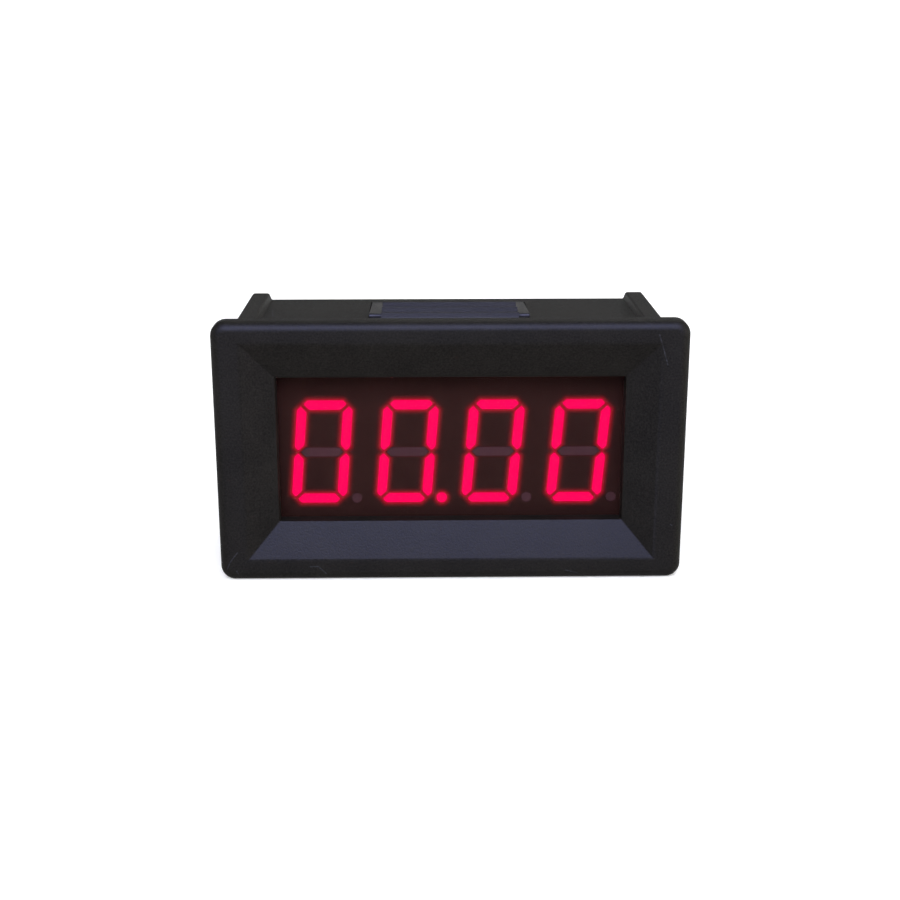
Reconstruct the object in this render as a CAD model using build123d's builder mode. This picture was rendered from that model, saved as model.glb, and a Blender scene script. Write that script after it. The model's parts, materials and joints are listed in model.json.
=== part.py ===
"""Snap-in digital panel meter: a moulded case with a wide bezel, four slanted digits and an open back."""

import math
import os

from build123d import *

os.makedirs("parts", exist_ok=True)

# The origin is the middle of the bezel's rear face, where the meter seats on its panel.
# +X is to the right as seen from the front, +Y runs to the rear and +Z is up.

# Bezel and body, driving sizes in millimetres
bezel_width = 48.0
bezel_height = 27.4
bezel_depth = 2.2
bezel_corner = 1.5
bezel_round = 1.0
side_seat = 1.8  # how far the bezel laps the panel at each side
top_seat = 1.83  # how far it laps the panel above and below
body_depth = 19.8
body_edge_round = 0.3
side_wall = 1.3
top_wall = 1.2
front_wall_rear = 1.0  # where the hollow behind the window starts

# Rails along the four long edges of the body
rail_width = 1.9
rail_rise = 0.74
rail_flank = 0.3  # how far the inner flank leans out towards its foot

# Window in the bezel
side_land = 2.85
top_land = 2.2
slope_depth = 1.7
window_cover = 0.78  # how far the display reaches past the window at each side
window_top_cover = 0.53  # and above and below
edge_soft = 0.2

# Filter behind the window
filter_lap = 1.2
filter_thickness = 0.8
filter_gap = 0.1
filter_rim = 0.8

# Display module
display_room = 2.3  # between the module and the side wall
display_headroom = 2.47
display_depth = 7.0
display_drop = 0.88  # the digits sit below the middle of the bezel
display_face = 1.0
display_wall = 1.0
display_standoff = 0.4
substrate_thickness = 0.8
digit_count = 4
digit_margin = 0.74
digit_space = 4.16  # between the middles of bars of neighbouring digits
digit_headroom = 3.14  # between the middle of a top bar and the display's edge
digit_slant = 4.8
bar_thickness = 1.06
bar_gap = 0.12
bar_clearance = 0.02
point_diameter = 1.15
point_inset = 0.915  # from the line midway between two digits
lit_point_digit = 2

# Circuit board
board_thickness = 1.6
board_gap = 0.2
board_headroom = 0.37
board_corner = 0.5
pin_pitch = 2.54
pins_per_row = 6
pin_row_inset = 1.85  # between a row of pins and the display's edge
pin_side = 0.5
pin_hole = 0.95
pin_tail = 1.2
solder_foot = 1.5
solder_top = 0.8
solder_rise = 0.8

# Parts soldered to the rear of the board
edge_gap = 1.0
chip_standoff = 0.12
controller_length = 7.2
controller_width = 5.3
controller_height = 1.75
controller_leads = 20
controller_lead_pitch = 0.65
controller_lead_width = 0.3
controller_lead_reach = 1.25
controller_dot = 0.8
controller_dot_inset = 0.9
mould_chamfer = 0.15
lead_thickness = 0.18
transistor_count = 4
transistor_length = 2.9
transistor_width = 1.3
transistor_height = 0.95
transistor_spacing = 3.5
transistor_row = 1.45  # above the middle of the display
small_lead_pitch = 0.95
small_lead_width = 0.4
small_lead_reach = 0.6
regulator_length = 2.9
regulator_width = 1.6
regulator_height = 1.15
chip_length = 2.0
chip_width = 1.25
chip_end = 0.4
chip_spacing = 1.55
chip_row = 1.4  # below the middle of the display
resistor_count = 6
resistor_height = 0.5
ceramic_count = 3
ceramic_height = 0.9
diode_length = 4.3
diode_width = 2.6
diode_height = 2.0
diode_lead_width = 1.5
diode_lead_thickness = 0.35
can_diameter = 5.0
can_height = 4.4
can_base = 5.3
can_base_height = 1.2
can_base_chamfer = 0.9
can_edge = 0.4
can_groove_rise = 0.5
can_groove_width = 0.4
can_groove_depth = 0.2
can_tab_width = 0.7
can_tab_reach = 0.5
trimmer_side = 4.5
trimmer_height = 2.3
rotor_diameter = 3.1
rotor_height = 1.25
rotor_clearance = 0.05
rotor_slot_width = 0.55
rotor_slot_length = 2.3
rotor_slot_depth = 0.6
trimmer_tab_width = 0.9
trimmer_tab_reach = 0.5
tab_thickness = 0.2

# Header that the supply and signal wires plug into
header_ways = 3
header_pitch = 2.0
header_end = 1.95
header_width = 5.0
header_height = 6.6
header_wall = 0.6
header_floor = 1.5
header_lift = 0.4
header_pin = 0.5
header_pin_inset = 1.0
header_key_width = 1.0
header_key_rise = 3.0
header_foot_reach = 1.2
header_foot_thickness = 0.3
header_tab_reach = 0.5
header_tab_rise = 1.8
header_tab_thickness = 0.25
header_tab_width = 1.6

# Board hooks on the side walls
hook_reach = 0.6
hook_width = 4.0
hook_land = 0.5
hook_length = 2.0

# Latch tongues above and below
tongue_width = 17.0
tongue_thickness = 1.0
tongue_slit = 0.1
tongue_lean = 4.0
tongue_shoulder = 7.8
shoulder_round = 0.3
rear_strip = 2.0
slot_front = 1.6
head_width = 14.2
tooth_count = 3
tooth_pitch = 2.9
first_crest = 3.4
crest_inset = 0.15  # the crests stay this far inside the bezel's edge
tooth_rise = 0.45
entry_ramp = 2.3

# Derived main sizes
body_width = bezel_width - 2 * side_seat
body_height = bezel_height - 2 * top_seat
cavity_width = body_width - 2 * side_wall
cavity_height = body_height - 2 * top_wall
display_width = cavity_width - 2 * display_room
display_height = cavity_height - 2 * display_headroom
window_width = display_width - 2 * window_cover
window_height = display_height - 2 * window_top_cover
filter_width = window_width + 2 * filter_lap
filter_height = window_height + 2 * filter_lap
display_front = front_wall_rear + filter_thickness
display_rear = display_front + display_depth
board_front = display_rear + display_standoff
board_rear = board_front + board_thickness
board_width = cavity_width - 2 * board_gap
board_height = cavity_height - 2 * board_headroom
digit_pitch = (display_width - 2 * digit_margin) / digit_count
digit_span = digit_pitch - digit_space
digit_rise = display_height - 2 * digit_headroom
point_offset = digit_pitch / 2 - point_inset
pin_row_spacing = display_height - 2 * pin_row_inset
tongue_root = body_depth - rear_strip


def across(y):
    """A plane facing the front at depth y, with x to the right and y up."""
    return Plane.XZ.offset(-y)


def rearward(length):
    """Extrusion amount that runs to the rear from such a plane."""
    return -length


def rear_view(y):
    """A plane facing the rear at depth y, with x to the right as seen from behind."""
    return Plane(origin=(0, y, 0), x_dir=(-1, 0, 0), z_dir=(0, 1, 0))


ON_BOARD = (Align.CENTER, Align.CENTER, Align.MIN)


def export(builder, name):
    """Label a finished piece and write it as its own STEP file."""
    builder.part.label = name
    export_step(builder.part, f"parts/{name}.step")


# Case: bezel and body in one moulding
with BuildPart() as case:
    with BuildSketch(across(0)):
        RectangleRounded(bezel_width, bezel_height, bezel_corner)
    extrude(amount=bezel_depth)
    fillet(case.faces().sort_by(Axis.Y)[0].edges(), bezel_round)

    with BuildSketch(across(0)):
        Rectangle(body_width, body_height)
        rail_outer = body_width / 2
        rail_top = body_height / 2 + rail_rise
        for side in (-1, 1):
            for face in (-1, 1):
                Polygon(
                    (side * rail_outer, 0),
                    (side * rail_outer, face * rail_top),
                    (side * (rail_outer - rail_width), face * rail_top),
                    (side * (rail_outer - rail_width - rail_flank), face * body_height / 2),
                    (side * (rail_outer - rail_width - rail_flank), 0),
                    align=None,
                )
    extrude(amount=rearward(body_depth))
    long_edges = case.edges().filter_by(Axis.Y).filter_by(lambda e: e.center().Y > 0)
    fillet(
        [e for e in long_edges if abs(abs(e.center().Z) - rail_top) < edge_soft],
        body_edge_round,
    )

    # The sloped frame round the window, softened at its outer edge, and the lip behind it
    frame_width = bezel_width - 2 * side_land
    frame_height = bezel_height - 2 * top_land
    soft_share = edge_soft / 2 / slope_depth
    with BuildSketch(across(-bezel_depth)):
        Rectangle(frame_width + 2 * edge_soft, frame_height + 2 * edge_soft)
    with BuildSketch(across(edge_soft / 2 - bezel_depth)):
        Rectangle(
            frame_width - soft_share * (frame_width - window_width),
            frame_height - soft_share * (frame_height - window_height),
        )
    loft(mode=Mode.SUBTRACT)
    with BuildSketch(across(edge_soft / 2 - bezel_depth)):
        Rectangle(
            frame_width - soft_share * (frame_width - window_width),
            frame_height - soft_share * (frame_height - window_height),
        )
    with BuildSketch(across(slope_depth - bezel_depth)):
        Rectangle(window_width, window_height)
    loft(mode=Mode.SUBTRACT)
    with BuildSketch(across(-bezel_depth)):
        Rectangle(window_width, window_height)
    extrude(amount=rearward(bezel_depth + body_depth / 2), mode=Mode.SUBTRACT)

    # Hollow body, open at the rear
    with BuildSketch(across(front_wall_rear)):
        Rectangle(cavity_width, cavity_height)
    extrude(amount=rearward(body_depth), mode=Mode.SUBTRACT)
    chamfer(
        case.faces().sort_by(Axis.Y)[-1].inner_wires()[0].edges(),
        edge_soft,
    )

    # Rim that locates the filter
    with BuildSketch(across(front_wall_rear)):
        Rectangle(
            filter_width + 2 * (filter_gap + filter_rim),
            filter_height + 2 * (filter_gap + filter_rim),
        )
        Rectangle(
            filter_width + 2 * filter_gap,
            filter_height + 2 * filter_gap,
            mode=Mode.SUBTRACT,
        )
    extrude(amount=rearward(filter_thickness))

    # Corner posts that carry the board
    post_width = (cavity_width - display_width) / 2 - board_gap
    post_height = (cavity_height - filter_height) / 2 - filter_gap
    with BuildSketch(across(front_wall_rear + filter_thickness)):
        with GridLocations(cavity_width - post_width, cavity_height - post_height, 2, 2):
            Rectangle(post_width, post_height)
    extrude(amount=rearward(board_front - front_wall_rear - filter_thickness))

    # Hooks that hold the board from behind
    for side in (-1, 1):
        with BuildSketch(Plane.XY):
            Polygon(
                (side * (cavity_width / 2 + side_wall / 2), board_rear),
                (side * (cavity_width / 2 - hook_reach), board_rear),
                (side * (cavity_width / 2 - hook_reach), board_rear + hook_land),
                (side * cavity_width / 2, board_rear + hook_length),
                (side * (cavity_width / 2 + side_wall / 2), board_rear + hook_length),
                align=None,
            )
        extrude(amount=hook_width / 2, both=True)

    # Slots for the two latch tongues
    slot_width = tongue_width + 2 * tongue_slit
    for face in (-1, 1):
        with BuildSketch(Plane.XY.offset(face * cavity_height / 4)):
            with Locations((0, (slot_front + tongue_root) / 2)):
                Rectangle(slot_width, tongue_root - slot_front)
        extrude(amount=face * bezel_height / 2, mode=Mode.SUBTRACT)
export(case, "case")


def tongue_top(y):
    """Height of a tongue's outer face at depth y."""
    return body_height / 2 + (tongue_root - y) * math.tan(math.radians(tongue_lean))


def latch_tongue(face, name):
    """A leaning tongue with saw teeth on its head, above (1) or below (-1)."""
    crest = bezel_height / 2 - crest_inset
    last_crest = first_crest + (tooth_count - 1) * tooth_pitch
    head_front = first_crest - tooth_rise
    ramp_foot = last_crest + entry_ramp
    profile = [(ramp_foot, tongue_top(ramp_foot))]
    for tooth in reversed(range(tooth_count)):
        y = first_crest + tooth * tooth_pitch
        profile.append((y, crest))
        profile.append((y - tooth_rise, crest - tooth_rise))
    profile.append((head_front, tongue_top(head_front) - tongue_thickness))
    profile.append((ramp_foot, tongue_top(ramp_foot) - tongue_thickness))
    plate = [
        (tongue_root, tongue_top(tongue_root)),
        (tongue_shoulder, tongue_top(tongue_shoulder)),
        (tongue_shoulder, tongue_top(tongue_shoulder) - tongue_thickness),
        (tongue_root, tongue_top(tongue_root) - tongue_thickness),
    ]
    with BuildPart() as tongue:
        with BuildSketch(Plane.YZ):
            Polygon(*[(y, face * z) for y, z in plate], align=None)
        extrude(amount=tongue_width / 2, both=True)
        shoulder = (
            tongue.faces().sort_by(Axis.Y)[0].edges().filter_by(Axis.X).sort_by(Axis.Z)
        )
        fillet(shoulder[-1 if face > 0 else 0], shoulder_round)
        with BuildSketch(Plane.YZ):
            Polygon(*[(y, face * z) for y, z in profile], align=None)
        extrude(amount=head_width / 2, both=True)
    export(tongue, name)


latch_tongue(1, "latch_tongue_top")
latch_tongue(-1, "latch_tongue_bottom")

# Tinted filter
with BuildPart() as filter_window:
    with BuildSketch(across(front_wall_rear)):
        Rectangle(filter_width, filter_height)
    extrude(amount=rearward(filter_thickness))
export(filter_window, "filter_window")


def slanted(x, z, digit):
    """Place a point of an upright digit on the slanted digit of this number."""
    middle = (digit - (digit_count - 1) / 2) * digit_pitch
    return (middle + x + z * math.tan(math.radians(digit_slant)), z - display_drop)


def bar_points(middle, along, outward, digit, shrink):
    """Six-sided bar of a digit; its tips lean outward where bars meet at a corner."""
    half = bar_thickness / 2 - shrink
    reach = (digit_span if along == "x" else digit_rise / 2) / 2 - bar_gap - shrink
    lean = half * 0.2 * outward
    local = [
        (-reach, lean),
        (-reach + half - lean, half),
        (reach - half + lean, half),
        (reach, lean),
        (reach - half - lean, -half),
        (-reach + half + lean, -half),
    ]
    points = []
    for u, v in local:
        dx, dz = (u, v) if along == "x" else (v, u)
        points.append(slanted(middle[0] + dx, middle[1] + dz, digit))
    return points


def outer_bars(digit, shrink):
    """The six bars round a digit, from the top one on."""
    right, top = digit_span / 2, digit_rise / 2
    return [
        bar_points((0, top), "x", 1, digit, shrink),
        bar_points((right, top / 2), "z", 1, digit, shrink),
        bar_points((right, -top / 2), "z", 1, digit, shrink),
        bar_points((0, -top), "x", -1, digit, shrink),
        bar_points((-right, -top / 2), "z", -1, digit, shrink),
        bar_points((-right, top / 2), "z", -1, digit, shrink),
    ]


def middle_bar(digit, shrink):
    """The bar across the middle of a digit."""
    return bar_points((0, 0), "x", 0, digit, shrink)


def point_place(digit):
    """Middle of the decimal point that follows a digit."""
    x = (digit - (digit_count - 1) / 2) * digit_pitch + point_offset
    return (x, -digit_rise / 2 - display_drop)


# Display housing: face with an opening for every bar and point, and four walls
with BuildPart() as display_housing:
    with BuildSketch(across(display_front)):
        with Locations((0, -display_drop)):
            Rectangle(display_width, display_height)
        for digit in range(digit_count):
            for points in outer_bars(digit, 0) + [middle_bar(digit, 0)]:
                Polygon(*points, align=None, mode=Mode.SUBTRACT)
            with Locations(point_place(digit)):
                Circle(point_diameter / 2, mode=Mode.SUBTRACT)
    extrude(amount=rearward(display_face))
    with BuildSketch(across(display_front + display_face)):
        with Locations((0, -display_drop)):
            Rectangle(display_width, display_height)
            Rectangle(
                display_width - 2 * display_wall,
                display_height - 2 * display_wall,
                mode=Mode.SUBTRACT,
            )
    extrude(amount=rearward(display_depth - display_face))
export(display_housing, "display_housing")

# Lit bars and the lit decimal point
with BuildPart() as lit_segments:
    with BuildSketch(across(display_front)):
        for digit in range(digit_count):
            for points in outer_bars(digit, bar_clearance):
                Polygon(*points, align=None)
        with Locations(point_place(lit_point_digit - 1)):
            Circle(point_diameter / 2 - bar_clearance)
    extrude(amount=rearward(display_face))
export(lit_segments, "lit_segments")

# Unlit bars and points
with BuildPart() as unlit_segments:
    with BuildSketch(across(display_front)):
        for digit in range(digit_count):
            Polygon(*middle_bar(digit, bar_clearance), align=None)
            if digit != lit_point_digit - 1:
                with Locations(point_place(digit)):
                    Circle(point_diameter / 2 - bar_clearance)
    extrude(amount=rearward(display_face))
export(unlit_segments, "unlit_segments")

# Clear epoxy that fills the display behind its face
with BuildPart() as display_epoxy:
    with BuildSketch(across(display_front + display_face)):
        with Locations((0, -display_drop)):
            Rectangle(display_width - 2 * display_wall, display_height - 2 * display_wall)
    extrude(amount=rearward(display_depth - display_face - substrate_thickness))
export(display_epoxy, "display_epoxy")

# Small board at the back of the display that carries its light chips
with BuildPart() as display_substrate:
    with BuildSketch(across(display_rear - substrate_thickness)):
        with Locations((0, -display_drop)):
            Rectangle(display_width - 2 * display_wall, display_height - 2 * display_wall)
    extrude(amount=rearward(substrate_thickness))
export(display_substrate, "display_substrate")


def pin_grid():
    """Places of the display's pins on an upright plane."""
    return GridLocations(pin_pitch, pin_row_spacing, pins_per_row, 2)


# Display pins
with BuildPart() as display_pins:
    with BuildSketch(across(display_rear)):
        with Locations((0, -display_drop)):
            with pin_grid():
                Rectangle(pin_side, pin_side)
    extrude(amount=rearward(board_rear + pin_tail - display_rear))
export(display_pins, "display_pins")

# Solder cones round the pins
with BuildPart(rear_view(board_rear)) as solder_joints:
    with Locations((0, -display_drop)):
        with pin_grid():
            Cone(solder_foot / 2, solder_top / 2, solder_rise, align=ON_BOARD)
            Box(pin_side, pin_side, solder_rise, align=ON_BOARD, mode=Mode.SUBTRACT)
export(solder_joints, "solder_joints")

# Circuit board
with BuildPart() as circuit_board:
    with BuildSketch(across(board_front)):
        RectangleRounded(board_width, board_height, board_corner)
        with Locations((0, -display_drop)):
            with pin_grid():
                Circle(pin_hole / 2, mode=Mode.SUBTRACT)
    extrude(amount=rearward(board_thickness))
export(circuit_board, "circuit_board")

# Places on the rear of the board, as seen from behind
board_top = board_height / 2
pin_field = (pins_per_row - 1) * pin_pitch / 2 + solder_foot / 2
side_middle = (pin_field + board_width / 2) / 2
top_row = board_top - edge_gap - diode_width / 2
controller_y = edge_gap + controller_length / 2 - board_top
trimmer_place = (side_middle, board_top - edge_gap - trimmer_tab_reach - trimmer_side / 2)
can_place = (-side_middle, board_top - edge_gap - can_tab_reach - can_base / 2)
header_place = (-side_middle, edge_gap + header_width / 2 - board_top)
diode_place = (-pin_field / 2, top_row)
regulator_x = pin_field / 2
transistor_y = transistor_row - display_drop
transistor_places = [
    ((i - (transistor_count - 1) / 2) * transistor_spacing, transistor_y)
    for i in range(transistor_count)
]
chip_count = resistor_count + ceramic_count
chip_places = [
    ((i - (chip_count - 1) / 2) * chip_spacing, -chip_row - display_drop)
    for i in range(chip_count)
]


def gull_leads(places, base, rise, reach, width, name):
    """Gull-wing leads at (x, y, outward x, outward y): out of a chip, down, and along the board."""
    knee = reach / 2
    half = lead_thickness / 2
    outline = [
        (base, rise - half),
        (base + knee - lead_thickness, rise - half),
        (base + knee - lead_thickness, 0),
        (base + reach, 0),
        (base + reach, lead_thickness),
        (base + knee, lead_thickness),
        (base + knee, rise + half),
        (base, rise + half),
    ]
    planes = [
        Plane(origin=(-x, board_rear, y), x_dir=(-u, 0, v), z_dir=(-v, 0, -u))
        for x, y, u, v in places
    ]
    with BuildPart() as leads:
        with BuildSketch(*planes):
            Polygon(*outline, align=None)
        extrude(amount=width / 2, both=True)
    export(leads, name)


# Controller chip
with BuildPart(rear_view(board_rear + chip_standoff)) as controller:
    with Locations((side_middle, controller_y)):
        Box(controller_width, controller_length, controller_height, align=ON_BOARD)
    top = controller.faces().sort_by(Axis.Y)[-1]
    chamfer(top.edges().filter_by(Axis.Z), mould_chamfer)
    with Locations(
        (
            side_middle - controller_width / 2 + controller_dot_inset,
            controller_y + controller_length / 2 - controller_dot_inset,
            controller_height,
        )
    ):
        Cylinder(controller_dot / 2, mould_chamfer, mode=Mode.SUBTRACT)
export(controller, "controller")

leads_per_side = controller_leads // 2
controller_lead_places = [
    (
        side_middle,
        controller_y + (i - (leads_per_side - 1) / 2) * controller_lead_pitch,
        side,
        0,
    )
    for side in (-1, 1)
    for i in range(leads_per_side)
]
gull_leads(
    controller_lead_places,
    controller_width / 2,
    chip_standoff + controller_height / 2,
    controller_lead_reach,
    controller_lead_width,
    "controller_leads",
)

# Transistors that switch the digits
with BuildPart(rear_view(board_rear + chip_standoff)) as transistors:
    with Locations(*transistor_places):
        Box(transistor_length, transistor_width, transistor_height, align=ON_BOARD)
export(transistors, "digit_transistors")

transistor_lead_places = [
    (x + offset * small_lead_pitch, y, 0, side)
    for x, y in transistor_places
    for side, offset in ((1, 0), (-1, -1), (-1, 1))
]
gull_leads(
    transistor_lead_places,
    transistor_width / 2,
    chip_standoff + transistor_height / 2,
    small_lead_reach,
    small_lead_width,
    "transistor_leads",
)

# Voltage regulator
with BuildPart(rear_view(board_rear + chip_standoff)) as regulator:
    with Locations((regulator_x, top_row)):
        Box(regulator_length, regulator_width, regulator_height, align=ON_BOARD)
    top = regulator.faces().sort_by(Axis.Y)[-1]
    chamfer(top.edges().filter_by(Axis.X), mould_chamfer)
export(regulator, "voltage_regulator")

regulator_lead_places = [
    (regulator_x + offset * small_lead_pitch, top_row, 0, side)
    for side, offset in ((1, -1), (1, 1), (-1, -1), (-1, 0), (-1, 1))
]
gull_leads(
    regulator_lead_places,
    regulator_width / 2,
    chip_standoff + regulator_height / 2,
    small_lead_reach,
    small_lead_width,
    "regulator_leads",
)


def chip_bodies(places, height, name):
    """Ceramic bodies of chip parts, between their metal ends."""
    with BuildPart(rear_view(board_rear)) as chips:
        with Locations(*places):
            Box(chip_width, chip_length - 2 * chip_end, height, align=ON_BOARD)
    export(chips, name)


# One row of chip resistors and ceramic capacitors
chip_kinds = (
    (chip_places[:resistor_count], resistor_height, "chip_resistors"),
    (chip_places[resistor_count:], ceramic_height, "ceramic_capacitors"),
)
for places, height, name in chip_kinds:
    chip_bodies(places, height, name)

with BuildPart(rear_view(board_rear)) as chip_ends:
    for places, height, name in chip_kinds:
        with Locations(*places):
            with GridLocations(chip_width, chip_length - chip_end, 1, 2):
                Box(chip_width, chip_end, height, align=ON_BOARD)
export(chip_ends, "chip_end_caps")

# Diode that guards against a reversed supply
with BuildPart(rear_view(board_rear + chip_standoff)) as diode:
    with Locations(diode_place):
        Box(diode_length, diode_width, diode_height, align=ON_BOARD)
    top = diode.faces().sort_by(Axis.Y)[-1]
    chamfer(top.edges(), mould_chamfer)
export(diode, "supply_diode")

with BuildPart(rear_view(board_rear)) as diode_ends:
    diode_lead_height = chip_standoff + diode_height / 2
    with Locations(diode_place):
        with GridLocations(diode_length + diode_lead_thickness, diode_width, 2, 1):
            Box(diode_lead_thickness, diode_lead_width, diode_lead_height, align=ON_BOARD)
export(diode_ends, "diode_leads")

# Supply capacitor: a crimped can on a square base
with BuildPart(rear_view(board_rear + tab_thickness)) as can_foot:
    with Locations(can_place):
        Box(can_base, can_base, can_base_height, align=ON_BOARD)
    corners = can_foot.edges().filter_by(Axis.Y).group_by(Axis.Z)[-1]
    chamfer(corners, can_base_chamfer)
export(can_foot, "capacitor_base")

with BuildPart(rear_view(board_rear + tab_thickness + can_base_height)) as can:
    with Locations(can_place):
        Cylinder(can_diameter / 2, can_height, align=ON_BOARD)
    chamfer(can.faces().sort_by(Axis.Y)[-1].edges(), can_edge)
    with Locations((*can_place, can_groove_rise)):
        Cylinder(can_diameter / 2, can_groove_width, align=ON_BOARD, mode=Mode.SUBTRACT)
        Cylinder(can_diameter / 2 - can_groove_depth, can_groove_width, align=ON_BOARD)
export(can, "capacitor_can")

with BuildPart(rear_view(board_rear)) as can_tabs:
    with Locations(can_place):
        with GridLocations(can_base, can_base, 1, 2):
            Box(can_tab_width, 2 * can_tab_reach, tab_thickness, align=ON_BOARD)
export(can_tabs, "capacitor_tabs")

# Calibration trimmer: a square body with a rotor that a screwdriver turns
rotor_rise = trimmer_height - rotor_height
with BuildPart(rear_view(board_rear + tab_thickness)) as trimmer:
    with Locations(trimmer_place):
        Box(trimmer_side, trimmer_side, trimmer_height, align=ON_BOARD)
    with Locations((*trimmer_place, rotor_rise)):
        Cylinder(
            rotor_diameter / 2 + rotor_clearance,
            rotor_height,
            align=ON_BOARD,
            mode=Mode.SUBTRACT,
        )
export(trimmer, "trimmer_body")

with BuildPart(rear_view(board_rear + tab_thickness + rotor_rise)) as rotor:
    with Locations(trimmer_place):
        Cylinder(rotor_diameter / 2, rotor_height, align=ON_BOARD)
    with Locations((*trimmer_place, rotor_height - rotor_slot_depth)):
        for width, length in (
            (rotor_slot_width, rotor_slot_length),
            (rotor_slot_length, rotor_slot_width),
        ):
            Box(width, length, rotor_slot_depth, align=ON_BOARD, mode=Mode.SUBTRACT)
export(rotor, "trimmer_rotor")

with BuildPart(rear_view(board_rear)) as trimmer_tabs:
    edge = trimmer_side / 2
    with Locations(trimmer_place):
        with Locations((-edge / 2, -edge), (edge / 2, -edge), (0, edge)):
            Box(trimmer_tab_width, 2 * trimmer_tab_reach, tab_thickness, align=ON_BOARD)
export(trimmer_tabs, "trimmer_tabs")

# Wire header: an open shroud with a keyed wall round its pins
header_length = (header_ways - 1) * header_pitch + 2 * header_end


def header_pin_row():
    """Places of the header's pins, along its middle."""
    return GridLocations(header_pitch, header_width, header_ways, 1)


with BuildPart(rear_view(board_rear + header_lift)) as header:
    shroud_height = header_height - header_lift
    with Locations(header_place):
        Box(header_length, header_width, shroud_height, align=ON_BOARD)
    with Locations((*header_place, header_floor)):
        Box(
            header_length - 2 * header_wall,
            header_width - 2 * header_wall,
            shroud_height,
            align=ON_BOARD,
            mode=Mode.SUBTRACT,
        )
    with Locations((header_place[0], header_place[1] - header_width / 2, header_key_rise)):
        with GridLocations(header_pitch * (header_ways - 1), header_width, 2, 1):
            Box(
                header_key_width,
                2 * header_wall,
                shroud_height,
                align=ON_BOARD,
                mode=Mode.SUBTRACT,
            )
    with Locations(header_place):
        with header_pin_row():
            Box(header_pin, header_pin, header_floor, align=ON_BOARD, mode=Mode.SUBTRACT)
export(header, "wire_header")

with BuildPart(rear_view(board_rear)) as header_pins:
    foot_end = header_width / 2 + header_foot_reach
    with Locations(header_place):
        with header_pin_row():
            Box(header_pin, header_pin, header_height - header_pin_inset, align=ON_BOARD)
    with Locations((header_place[0], header_place[1] + foot_end / 2)):
        with header_pin_row():
            Box(header_pin, foot_end, header_foot_thickness, align=ON_BOARD)
export(header_pins, "header_pins")

with BuildPart(rear_view(board_rear)) as header_tabs:
    with Locations(header_place):
        for side in (-1, 1):
            end = side * header_length / 2
            with Locations((end + side * header_tab_thickness / 2, 0)):
                Box(header_tab_thickness, header_tab_width, header_tab_rise, align=ON_BOARD)
            with Locations((end + side * header_tab_reach / 2, 0)):
                Box(header_tab_reach, header_tab_width, header_tab_thickness, align=ON_BOARD)
export(header_tabs, "header_tabs")
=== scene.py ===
"""Looks of a snap-in digital panel meter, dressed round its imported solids."""

import json
import math

import bmesh
import bpy
import numpy as np
from bpy.props import FloatProperty, FloatVectorProperty, PointerProperty
from mathutils import Matrix, Vector, geometry


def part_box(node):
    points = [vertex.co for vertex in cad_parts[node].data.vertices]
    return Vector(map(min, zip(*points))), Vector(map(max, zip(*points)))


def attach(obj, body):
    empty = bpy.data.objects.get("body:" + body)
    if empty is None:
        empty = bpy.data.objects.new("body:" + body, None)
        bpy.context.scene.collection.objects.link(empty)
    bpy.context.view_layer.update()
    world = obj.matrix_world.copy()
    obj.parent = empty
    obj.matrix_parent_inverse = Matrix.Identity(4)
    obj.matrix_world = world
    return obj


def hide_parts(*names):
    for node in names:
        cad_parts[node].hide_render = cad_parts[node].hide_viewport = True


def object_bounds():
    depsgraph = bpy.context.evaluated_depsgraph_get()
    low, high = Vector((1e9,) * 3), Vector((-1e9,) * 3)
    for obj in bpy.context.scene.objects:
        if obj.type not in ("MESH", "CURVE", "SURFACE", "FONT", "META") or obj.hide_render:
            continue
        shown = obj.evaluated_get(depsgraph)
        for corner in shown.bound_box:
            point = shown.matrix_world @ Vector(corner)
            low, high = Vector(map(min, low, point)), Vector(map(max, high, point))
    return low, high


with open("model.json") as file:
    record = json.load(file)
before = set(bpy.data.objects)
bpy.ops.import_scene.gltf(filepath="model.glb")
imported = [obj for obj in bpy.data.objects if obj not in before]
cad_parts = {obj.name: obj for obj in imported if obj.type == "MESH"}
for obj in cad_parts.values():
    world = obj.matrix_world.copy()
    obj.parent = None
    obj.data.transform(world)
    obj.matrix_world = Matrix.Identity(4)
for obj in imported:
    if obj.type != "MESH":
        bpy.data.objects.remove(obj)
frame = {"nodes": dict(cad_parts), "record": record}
CAD_BOX = [list(corner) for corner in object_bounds()]

bl_info = {
    "name": "Snap-in digital panel meter",
    "version": (1, 0, 0),
    "blender": (4, 5, 0),
    "location": "View3D > Sidebar > Panel Meter",
    "description": "Dresses the solids of a snap-in digital panel meter",
    "category": "Object",
}

MM = 0.001
TOUCH = 0.01 * MM  # points closer than this are on the same plane

# The red glow painted on the display's face, standing for light that leaks past a lit bar, and the
# faint gloss of what is behind the window
PAINTED_GLOW_COLOUR = (1.0, 0.0, 0.04, 1.0)
BEHIND_WINDOW = 0.01

# The camera that looks at the meter from in front and above
LENS_MM = 57.03
SENSOR_MM = 36.0
CAMERA_PLACE = Vector((-2.390, -140.884, 42.195)) * MM
CAMERA_DOWN = math.radians(16.739)
CAMERA_TURN = math.radians(0.943)
CAMERA_ROLL = math.radians(-0.020)

# The body of each solid
BODY = {
    node: body
    for body, nodes in frame["record"]["behaviour"]["bodies"].items()
    for node in nodes
}

# Marks on the bezel's front, from left to right, as pairs of ends (x, z) in mm
FRONT_Y = CAD_BOX[0][1]
FRONT_MARKS = (
    ((-23.46, -12.72), (-22.83, -11.43)),
    ((-22.83, -11.43), (-22.11, -10.50)),
    ((-22.29, -12.57), (-22.11, -12.88)),
    ((-14.62, -12.13), (-13.79, -12.09)),
    ((-13.79, -12.09), (-12.62, -13.28)),
    ((12.00, -12.66), (13.48, -13.12)),
    ((20.77, 12.32), (21.71, 9.25)),
    ((22.70, -7.70), (22.84, -7.78)),
)

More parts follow.
